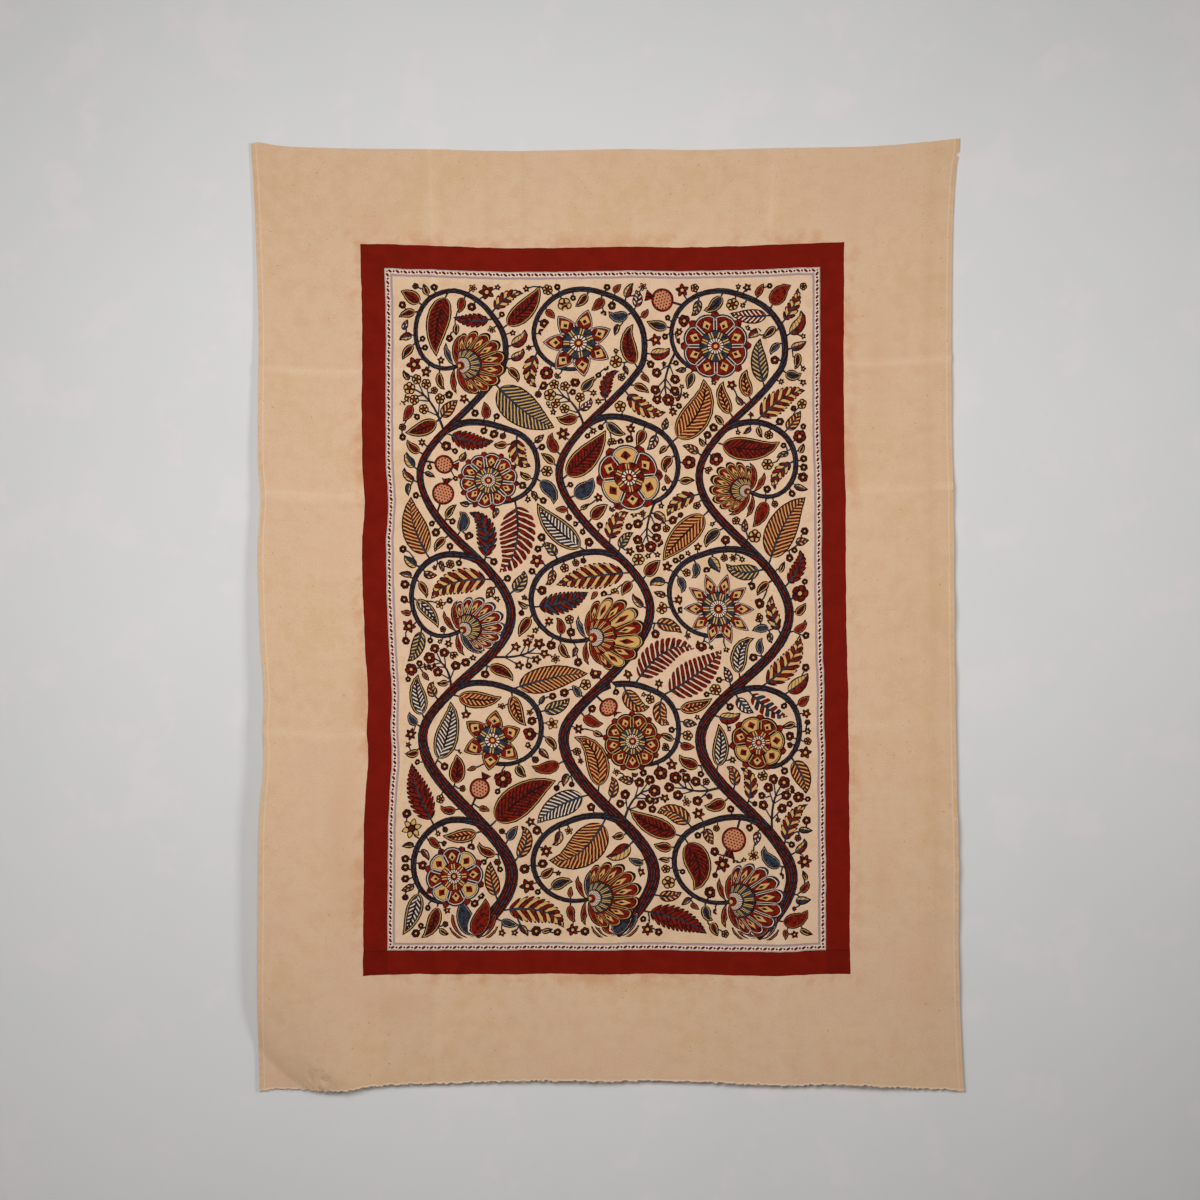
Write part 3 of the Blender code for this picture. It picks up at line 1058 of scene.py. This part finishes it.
def flowerGroup():
    # Sorts: 1 round petals, 2 pointed petals, 3 palmette, 4 small round, 5 fruit.
    tree, given, leave = makeGroup(
        "flowerDye", [("Place", vectorIn), ("Sort", vectorIn), ("Wander", floatOut)], [("Dye", floatOut)])
    x, y, radius = split(given["Place"])
    sort, seed, petals = split(given["Sort"])
    pointed, fan, fruit = band(sort, 1.5, 2.5), band(sort, 2.5, 3.5), (sort > 4.5)
    tiny = (radius < 0.020)
    big = 1.0 - tiny
    lift = y + fan * 0.62  # a palmette spreads from its foot
    square = x * x + lift * lift
    spread = square / (lift * 0.62 + root(larger(square - x * x * 0.384, 0.0)))
    reach = choose(fan, root(square), spread)
    reach = reach + (given["Wander"] - 0.5) * 0.0014 / larger(radius, 0.008)
    angle = calc("ARCTAN2", x, lift)
    turns = angle / choose(fan, math.tau, 2.7)
    sector = turns * petals + choose(fan, seed, 0.5)
    within = part(sector) * 2.0 - 1.0
    middle = size(within)
    odd = part(whole(sector) * 0.5) * 2.0
    top = choose(pointed, root(larger(1.0 - middle * middle, 0.0)), 1.0 - middle)
    edge = choose(pointed, 0.80, 0.58) + choose(pointed, 0.18, 0.42) * top
    inward = (edge - reach) * radius
    toSide = (1.0 - middle) * reach * radius * math.pi / petals  # metres to the petal's side
    blue = (part(seed * 5.7) > 0.45)
    swap = (part(seed * 3.3) > 0.45)
    lineDye = choose(blue, 1.0, 2.0)
    rimDye = choose(blue, 4.0, 5.0)
    petalDye = choose(odd * swap, 3.0, 4.0)
    drop = (size(reach - 0.66) / 0.15 + middle / 0.50 < 1.0)
    seedSpot = (size(reach - 0.63) / 0.07 + middle / 0.24 < 1.0)
    bigPetal = choose(drop, petalDye, 7.0 - petalDye)
    bigPetal = choose(seedSpot, bigPetal, 1.0)
    bigPetal = choose((toSide < 0.0028), bigPetal, rimDye)
    bigPetal = choose((toSide < 0.0017), bigPetal, lineDye)
    bigPetal = choose(larger(band(inward, 0.0038, 0.0050), band(toSide, 0.0028, 0.0036)), bigPetal, 1.0)
    bigPetal = choose((inward < 0.0038), bigPetal, rimDye)
    bigPetal = choose((inward < 0.0028), bigPetal, lineDye)
    reddish = (part(seed * 8.7) > 0.30)
    smallPetal = choose((toSide < 0.0016), choose(reddish, 4.0, 3.0), 1.0)
    smallPetal = choose((inward < 0.0022), smallPetal, 1.0)
    dye = choose(tiny, bigPetal, smallPetal)
    # pointed tips that show between the round petals
    behind = size(part(sector + 0.5) * 2.0 - 1.0)
    tipEdge = 0.66 + 0.44 * (1.0 - behind)
    tips = (tipEdge > reach) * (inward < 0.0) * big * (1.0 - pointed) * (1.0 - fan)
    tipDye = choose(((tipEdge - reach) * radius < 0.0018), 3.0, 1.0)
    # inner petals, half a petal round from the outer ones
    innerEdge = 0.41 + 0.07 * root(larger(1.0 - behind * behind, 0.0))
    innerIn = (innerEdge - reach) * radius
    innerSide = (1.0 - behind) * reach * radius * math.pi / petals
    innerDye = choose((innerSide < 0.0030), choose(swap, 2.0, 3.0), 4.0)
    innerDye = choose(larger((innerSide < 0.0010), (innerIn < 0.0016)), innerDye, 1.0)
    dye = choose((innerIn > 0.0) * big, dye, innerDye)
    # the eye: a ring of dots round a red centre
    dots = part(turns * petals * 2.0)
    eye = choose(band(dots, 0.3, 0.75), 5.0, 1.0)
    eye = choose((reach > 0.225), eye, 2.0)
    eye = choose((reach < 0.130), eye, 3.0)
    eye = choose((reach < 0.055), eye, 4.0)
    dye = choose((reach < 0.26) * big, dye, eye)
    dye = choose((reach < 0.38) * tiny, dye, choose((reach < 0.22), 1.0, choose(reddish, 3.0, 4.0)))
    shown = (inward > 0.0) * choose(fan, 1.0, (size(angle) < 1.35))
    dye = choose(tips, dye * shown, tipDye)
    # a round fruit in dotted salmon with a small crown
    ball = 0.72 - root(x * x + (y + 0.12) * (y + 0.12))
    speckRow = y * radius / 0.0046
    speckPlace = part(x * radius / 0.0052 + whole(speckRow) * 0.5)
    speck = (size(part(speckRow) - 0.5) + size(speckPlace - 0.5) < 0.34)
    fruitDye = choose(speck, 6.0, 1.0)
    fruitDye = choose((ball * radius < 0.0040), fruitDye, 3.0)
    fruitDye = choose((ball * radius < 0.0014), fruitDye, 1.0)
    crown = band(y, 0.46, 0.98) * (size(x) < 0.06 + (y - 0.42) * 0.60)
    crownDye = choose((part(x * 5.0) > 0.45), 3.0, 1.0)
    fruitDye = choose((ball > 0.0), crownDye * crown, fruitDye)
    dye = choose(fruit, dye, fruitDye)
    plug(tree, leave.inputs["Dye"], dye)
    return tree


def borderGroup():
    # Inset is the depth inside the dyed frame's outer edge, Along runs along the nearest side,
    # Lapped marks where the lower band was brushed over the side bands, Seam its upper line there.
    tree, given, leave = makeGroup(
        "frameLines", [("Flat", vectorIn), ("Wander", floatOut)],
        [("Inset", floatOut), ("Along", floatOut), ("Lapped", floatOut), ("Seam", floatOut)])
    across, up, unused = split(given["Flat"])
    down = up * -1.0
    drift = (given["Wander"] - 0.5) * 0.0034
    centre = (borders["left"] + borders["right"]) / 2
    half = (borders["right"] - borders["left"]) / 2
    bow = 1.0 - power(size(across - centre) / half, 2.0)  # the ruled lines bow with the hung cloth
    fromLeft = across - borders["left"] + drift
    fromRight = borders["right"] - across + drift
    fromTop = down - (borders["top"] - 0.0035) - bow * 0.0055 + drift
    fromBottom = (borders["bottom"] - 0.0045) + bow * 0.0060 - down + drift
    sideInset, endInset = smaller(fromLeft, fromRight), smaller(fromTop, fromBottom)
    inset = smaller(sideInset, endInset)
    along = choose((sideInset < endInset), across, down)
    inSide = band(sideInset, 0.0, borders["band"])
    plug(tree, leave.inputs["Inset"], inset)
    plug(tree, leave.inputs["Along"], along)
    plug(tree, leave.inputs["Lapped"], inSide * band(fromBottom, 0.0, borders["band"]))
    plug(tree, leave.inputs["Seam"], inSide * (size(fromBottom - borders["band"]) < 0.0011))
    return tree


def guardGroup():
    # The narrow stripe inside the red band: a row of slanting dashes, a fine line, then a grey strip.
    tree, given, leave = makeGroup("guardStripe", [("Depth", floatOut), ("Along", floatOut)], [("Dye", floatOut)])
    depth, along = given["Depth"], given["Along"]
    place, lift = part(along / 0.0124), depth - 0.0048
    aside = (place - 0.30) * 0.0124
    slantAlong, slantAcross = aside * 0.866 + lift * 0.5, lift * 0.866 - aside * 0.5
    longDash = (power(size(slantAlong) / 0.0036, 2.0) + power(size(slantAcross) / 0.0019, 2.0) < 1.0)
    shortDash = (power(size(place - 0.80) * 0.0124 / 0.0018, 2.0) + power(size(lift) / 0.0018, 2.0) < 1.0)
    dash = larger(longDash, shortDash)
    line = larger(band(depth, 0.0080, 0.0090), (depth < 0.0020))
    dye = choose((depth > 0.0092), 5.0, 7.0)
    dye = choose(line, dye, 8.0)
    dye = choose(dash, dye, 9.0)
    plug(tree, leave.inputs["Dye"], dye)
    return tree


groups = {
    "stem": stemGroup(),
    "leaf": leafGroup(),
    "flower": flowerGroup(),
    "frame": borderGroup(),
    "guard": guardGroup(),
}
print("stage: dye groups built")

# Colours are linear. bare is the undyed cotton, then one entry for each dye number.
dyes = {
    "margin": (0.650, 0.439, 0.282),
    "fieldCloth": (0.690, 0.478, 0.318),
    "line": (0.019, 0.0054, 0.0044),
    "indigo": (0.028, 0.037, 0.052),
    "madder": (0.190, 0.0100, 0.0040),
    "ochre": (0.555, 0.320, 0.104),
    "white": (0.730, 0.550, 0.400),
    "salmon": (0.520, 0.195, 0.095),
    "guardGrey": (0.340, 0.235, 0.240),
    "guardLine": (0.430, 0.330, 0.290),
    "guardDash": (0.095, 0.006, 0.008),
    "band": (0.180, 0.0082, 0.0030),
    "stain": (0.560, 0.270, 0.150),
    "soil": (0.600, 0.380, 0.205),
    "blush": (0.640, 0.395, 0.270),
}
dyeOrder = ("fieldCloth", "line", "indigo", "madder", "ochre", "white", "salmon",
            "guardGrey", "guardLine", "guardDash")


def rgb(name, strength=1.0):
    return tuple(c * strength for c in dyes[name]) + (1.0,)


# Old marks in the margins beside the dyed frame: across, down, half-width, half-height, strength.
stains = (
    (0.188, 0.117, 0.040, 0.030, 0.24),
    (0.132, 1.080, 0.030, 0.240, 0.20),
    (0.220, 1.374, 0.060, 0.034, 0.24),
    (0.998, 0.355, 0.030, 0.130, 0.20),
    (0.998, 1.168, 0.028, 0.070, 0.20),
    (1.061, 1.320, 0.040, 0.080, 0.16),
)


def groundGroup():
    # Plain cotton: Tone goes from the margin's colour to the field's; the fold input is paler above 0 and darker
    # below, painting crease ridges lighter and valleys darker, partly as rubbing and dirt, partly as painted
    # highlight and painted shade of the creases.
    tree, given, leave = makeGroup(
        "cottonGround", [("Flat", vectorIn), ("Tone", floatOut), ("Wear", floatOut), ("Patchy", floatOut)],
        [("Color", "NodeSocketColor"), ("Broad", floatOut)])
    across, up, unused = split(given["Flat"])
    patchy, wornAndShaded = given["Patchy"], given["Wear"]
    broad = cloud(given["Flat"], 5.0, 2.0, 0.55)
    warpSlubs = cloud(join(tree, across * 90.0, up * 7.0), 1.0, 0.0)
    slubs = warpSlubs - cloud(join(tree, across * 7.0, up * 90.0), 1.0, 0.0)
    ground = tint(given["Tone"], rgb("margin"), rgb("fieldCloth"))
    ground = tint(soft(broad * 0.45 + patchy * 0.55, 0.44, 0.66) * 0.55, ground, rgb("soil"))
    ground = tint(soft(patchy * 0.6 - broad * 0.6, -0.02, 0.14) * 0.42, ground, rgb("blush"))
    ground = tint(size(slubs) * 0.30, ground, rgb("soil", 0.92))
    # crease ridges lightened and valleys darkened: partly real rubbing and dirt, partly painted highlight and
    # painted shade of the folds
    ground = tint(larger(wornAndShaded, 0.0) * 0.24, ground, rgb("white", 1.15))
    ground = tint(larger(wornAndShaded * -1.0, 0.0) * 0.26, ground, rgb("soil", 0.88))
    selvedge = smaller(across, cloth["width"] - across)
    ground = tint((selvedge < 0.0068) * 0.12, ground, rgb("soil"))
    ground = tint((selvedge < 0.0060) * (slubs > 0.10) * 0.16, ground, rgb("soil", 0.75))
    ground = tint(band(selvedge, 0.0068, 0.0088) * 0.30, ground, rgb("white", 1.1))
    for place, drop, wide, tall, strength in stains:
        far = apart(given["Flat"], (place, -drop), (wide, tall)) + patchy * 1.2
        ground = tint((1.0 - soft(far, 0.5, 1.9)) * strength, ground, rgb("stain"))
    specks = (cloud(given["Flat"], 190.0, 0.0) > 0.810) * (broad > 0.48)  # drips of dye and flecks of husk
    ground = tint(specks * 0.40, ground, rgb("stain", 0.62))
    ground = tint((up < 0.0026 - cloth["length"]) * 0.55, ground, rgb("white", 1.1))
    plug(tree, leave.inputs["Color"], ground)
    plug(tree, leave.inputs["Broad"], broad)
    return tree


groups["ground"] = groundGroup()


def clothFace(name, hasField, hasFrame, fade):  # fade is how far the back's dye pales into bare cotton
    material = bpy.data.materials.new(name)
    material.use_nodes = True
    tree = material.node_tree
    shader = tree.nodes["Principled BSDF"]

    def attribute(label, output="Vector"):
        node = tree.nodes.new("ShaderNodeAttribute")
        node.attribute_name = label
        return Wire(tree, node.outputs[output])

    uvNode = tree.nodes.new("ShaderNodeUVMap")
    uvNode.uv_map = "flatCloth"
    flat = Wire(tree, uvNode.outputs["UV"])
    patchy = cloud(flat, 38.0, 2.0, 0.6)
    fine = cloud(flat, 620.0, 0.0)

    tone = 1.0 if hasField else 0.0
    if hasFrame:
        edgeWander = cloud(flat, 26.0, 2.0, 0.65)
        lines = placeGroup(tree, groups["frame"], Flat=flat, Wander=edgeWander)
        inset = lines["Inset"]
        tone = soft(inset, borders["band"], frameDepth)
    cotton = placeGroup(tree, groups["ground"], Flat=flat, Tone=tone, Patchy=patchy,
                        Wear=attribute("foldWear", "Fac"))
    colour, broad = cotton["Color"], cotton["Broad"]

    dye = None
    if hasField:
        penWander = cloud(flat, 150.0, 1.0)
        dye = placeGroup(tree, groups["stem"], Ribbon=attribute("stemRibbon"), Wander=penWander)["Dye"]
        under = placeGroup(tree, groups["stem"], Ribbon=attribute("stemUnder"), Wander=penWander)["Dye"]
        dye = choose((dye > 0.5), under, dye)
        leaf = placeGroup(tree, groups["leaf"], Place=attribute("leafPlace"), Sort=attribute("leafSort"),
                          Wander=penWander)["Dye"]
        flower = placeGroup(tree, groups["flower"], Place=attribute("flowerPlace"), Sort=attribute("flowerSort"),
                            Wander=penWander)["Dye"]
        dye = choose((leaf > 0.5), dye, leaf)
        dye = choose((flower > 0.5), dye, flower)
    if hasFrame:
        bleed = soft(inset, -0.029, -0.004) * (inset < 0.001) * soft(broad * 0.7 + patchy * 0.5, 0.52, 0.74)
        colour = tint(bleed * 0.62, colour, rgb("stain"))
        guard = placeGroup(tree, groups["guard"], Depth=inset - borders["band"], Along=lines["Along"])["Dye"]
        inGuard = band(inset, borders["band"], frameDepth - 0.0012)
        dye = choose(inGuard, dye * (inset > frameDepth - 0.0012), guard) if hasField else guard * inGuard

    if dye:
        ramp = tree.nodes.new("ShaderNodeValToRGB")
        ramp.color_ramp.interpolation = "CONSTANT"
        stops = ramp.color_ramp.elements
        stops.remove(stops[1])
        for i, label in enumerate(dyeOrder):
            stop = stops[0] if i == 0 else stops.new((i - 0.5) / 10)
            stop.color = rgb(label)
        plug(tree, ramp.inputs[0], dye / 10.0)
        painted = Wire(tree, ramp.outputs[0])
        if hasField:  # the red and the indigo are hatched with the black pen
            strokes = band(dye, 1.5, 3.5) * soft(penWander * 0.65 + fine * 0.35, 0.49, 0.55)
            painted = tint(strokes * 0.85, painted, rgb("line"))
        colour = tint((dye > 0.5), colour, painted)
    if hasFrame:
        redBand = band(inset, 0.0, borders["band"])
        rim = larger((inset < 0.0014), (inset > borders["band"] - 0.0014))
        thin = soft(patchy, 0.30, 0.75) * 0.40 + rim * 0.35 + lines["Lapped"] * 0.30 + lines["Seam"] * 0.45
        colour = tint(redBand, colour, tint(thin, rgb("band"), rgb("band", 0.55)))
    colour = tint((fine - 0.4) * 0.35, colour, (0.0, 0.0, 0.0, 1.0), "MULTIPLY")
    if fade:
        colour = tint(fade, colour, rgb("margin"))
    plug(tree, shader.inputs["Base Color"], colour)

    across, up, unused = split(flat)
    threads = size(wave(across * math.pi / 0.0009)) + size(wave(up * math.pi / 0.0010))
    weave = tree.nodes.new("ShaderNodeBump")
    weave.inputs["Strength"].default_value = 0.25
    weave.inputs["Distance"].default_value = 0.0003
    plug(tree, weave.inputs["Height"], threads * 0.3 + fine)
    tree.links.new(weave.outputs[0], shader.inputs["Normal"])
    shader.inputs["Roughness"].default_value = 0.92
    shader.inputs["Specular IOR Level"].default_value = 0.05
    return material


def rimFace():
    material = bpy.data.materials.new("cutEdge")
    material.use_nodes = True
    tree = material.node_tree
    shader = tree.nodes["Principled BSDF"]
    coords = tree.nodes.new("ShaderNodeTexCoord")
    specks = cloud(Wire(tree, coords.outputs["Object"]), 700.0, 2.0, 0.6)
    plug(tree, shader.inputs["Base Color"], tint(specks, rgb("margin", 1.1), rgb("margin", 0.8)))
    shader.inputs["Roughness"].default_value = 0.95
    return material


backFace, edgeFace = clothFace("paleBack", True, True, 0.55), rimFace()
for finish in (clothFace("paintedFace", True, False, 0.0), clothFace("framedFace", False, True, 0.0),
               clothFace("marginFace", False, False, 0.0), backFace, backFace, backFace, edgeFace):
    clothMesh.materials.append(finish)

# Short ends of warp that have come loose along the cut lower edge.
threads = {
    "count": 240,
    "shortest": 0.0020,
    "longest": 0.0046,
    "thickness": 0.00095,
    "looseFrom": 0.535,
    "looseTo": 0.575,
    "looseCount": 3,
    "looseLongest": 0.0120,
}


def frayEdge():
    model = bmesh.new()
    bmesh.ops.create_cone(model, cap_ends=True, segments=3, radius1=0.35, radius2=0.5, depth=1.0)
    upright = [e for e in model.edges if abs(e.verts[0].co.z - e.verts[1].co.z) > 0.5]
    bmesh.ops.subdivide_edges(model, edges=upright, cuts=2)
    bmesh.ops.translate(model, verts=model.verts, vec=(0, 0, -0.5))
    bmesh.ops.triangulate(model, faces=model.faces)
    oneThread = bpy.data.meshes.new("oneThread")
    model.to_mesh(oneThread)
    model.free()
    made = bmesh.new()
    for i in range(threads["count"] + threads["looseCount"]):
        loose = i >= threads["count"]
        across = dice.uniform(threads["looseFrom"], threads["looseTo"]) if loose else dice.uniform(0.004, 1.116)
        longest = threads["looseLongest"] if loose else threads["longest"]
        length = threads["shortest"] + (longest - threads["shortest"]) * dice.random() ** (0.6 if loose else 2.5)
        sway, outward = dice.uniform(-0.5, 0.5) * length, dice.uniform(-0.25, 0.10) * length
        thickness = threads["thickness"] * (0.55 if loose else 1.0)
        start = hung(across, cloth["length"] - 0.0006)
        made.from_mesh(oneThread)
        made.verts.ensure_lookup_table()
        for v in made.verts[-len(oneThread.vertices):]:
            down = -v.co.z
            v.co = start + Vector((v.co.x * thickness + sway * down**2,
                                   v.co.y * thickness + outward * down**2, -down * length))
    mesh = bpy.data.meshes.new("frayedThreads")
    made.to_mesh(mesh)
    made.free()
    bpy.data.meshes.remove(oneThread)
    mesh.materials.append(edgeFace)
    thing = bpy.data.objects.new("frayedThreads", mesh)
    bpy.context.scene.collection.objects.link(thing)
    return thing


frayedThreads = frayEdge()
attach(frayedThreads, "root")
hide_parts("panel_cloth")
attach(clothPiece, "root")
print("stage: cloth dressed")


# The wall behind, the floor and the studio's soft light.
stage = {
    "wallSpan": 7.0,
    "wallHeight": 5.0,
    "floorDrop": 2.60,
    "cameraAway": 4.479,
    "aimAcross": -0.0083,
    "aimUp": -0.7257,
}


def plainMaterial(name, colour, mottle):
    material = bpy.data.materials.new(name)
    material.use_nodes = True
    tree = material.node_tree
    shader = tree.nodes["Principled BSDF"]
    coords = tree.nodes.new("ShaderNodeTexCoord")
    place = Wire(tree, coords.outputs["Object"])
    smudge, rosy = cloud(place, 3.0, 4.0, 0.6), cloud(place, 9.0, 3.0, 0.6)
    darker = tuple(c * (1.0 - mottle) for c in colour[:3]) + (1.0,)
    pinker = (colour[0] * 1.02, colour[1] * 0.975, colour[2] * 0.992, 1.0)
    paint = tint(smudge, colour, darker)
    plug(tree, shader.inputs["Base Color"], tint(soft(rosy, 0.50, 0.68), paint, pinker))
    shader.inputs["Roughness"].default_value = 0.85
    return material


def flatPlane(name, span, depth, place, upright, material):
    sheet = bmesh.new()
    bmesh.ops.create_grid(sheet, x_segments=1, y_segments=1, size=0.5)
    bmesh.ops.scale(sheet, verts=sheet.verts, vec=(span, depth, 1))
    mesh = bpy.data.meshes.new(name)
    if upright:
        for v in sheet.verts:
            v.co = Vector((v.co.x, 0.0, v.co.y))
    bmesh.ops.translate(sheet, verts=sheet.verts, vec=place)
    sheet.to_mesh(mesh)
    sheet.free()
    mesh.materials.append(material)
    thing = bpy.data.objects.new(name, mesh)
    bpy.context.scene.collection.objects.link(thing)
    return thing


def seenThroughFromBehind(material):
    tree = material.node_tree
    shader, out = tree.nodes["Principled BSDF"], tree.nodes["Material Output"]
    facing = tree.nodes.new("ShaderNodeNewGeometry")
    clear = tree.nodes.new("ShaderNodeBsdfTransparent")
    mix = tree.nodes.new("ShaderNodeMixShader")
    tree.links.new(facing.outputs["Backfacing"], mix.inputs[0])
    tree.links.new(shader.outputs[0], mix.inputs[1])
    tree.links.new(clear.outputs[0], mix.inputs[2])
    tree.links.new(mix.outputs[0], out.inputs["Surface"])


wallMaterial = plainMaterial("paintedWall", (0.660, 0.655, 0.642, 1.0), 0.08)
seenThroughFromBehind(wallMaterial)
wall = flatPlane("wall", stage["wallSpan"], stage["wallHeight"],
                 (0, 0, stage["wallHeight"] / 2 - stage["floorDrop"]), True, wallMaterial)
wall.visible_shadow = False
flatPlane("floor", stage["wallSpan"], 6.0, (0, -3.0, -stage["floorDrop"]), False,
          plainMaterial("paleFloor", (0.66, 0.65, 0.63, 1.0), 0.04))


def softLight(name, place, aim, span, power, spread=180):
    data = bpy.data.lights.new(name, "AREA")
    data.shape = "SQUARE"
    data.size = span
    data.energy = power
    data.spread = math.radians(spread)
    lamp = bpy.data.objects.new(name, data)
    lamp.location = place
    lamp.rotation_euler = (Vector(aim) - Vector(place)).to_track_quat("-Z", "Y").to_euler()
    bpy.context.scene.collection.objects.link(lamp)


softLight("keyRight", (2.86, -2.11, -0.17), (-0.64, 0, -0.65), 0.85, 9.4, 71.5)
softLight("fillLeft", (-2.26, -2.45, 0.13), (-0.40, 0, -0.67), 0.8, 4.6)
softLight("front", (-0.45, -1.93, -0.375), (0.18, 0, -0.90), 1.0, 29.2)
softLight("behind", (0.8, 2.6, 0.6), (0.0, 0, -0.7), 1.6, 30)

world = bpy.data.worlds.new("studio")
bpy.context.scene.world = world
world.use_nodes = True
world.node_tree.nodes["Background"].inputs["Color"].default_value = (0.9, 0.92, 0.95, 1.0)
world.node_tree.nodes["Background"].inputs["Strength"].default_value = 0.13
bpy.context.scene.view_settings.view_transform = "Standard"  # dyes show in their own colours

cameraData = bpy.data.cameras.new("front")
cameraData.lens = 85
cameraData.sensor_width = 36
camera = bpy.data.objects.new("front", cameraData)
camera.location = (stage["aimAcross"], -stage["cameraAway"], stage["aimUp"])
camera.rotation_euler = (math.pi / 2, 0, 0)
bpy.context.scene.collection.objects.link(camera)
bpy.context.scene.camera = camera
print("stage: stage lit")
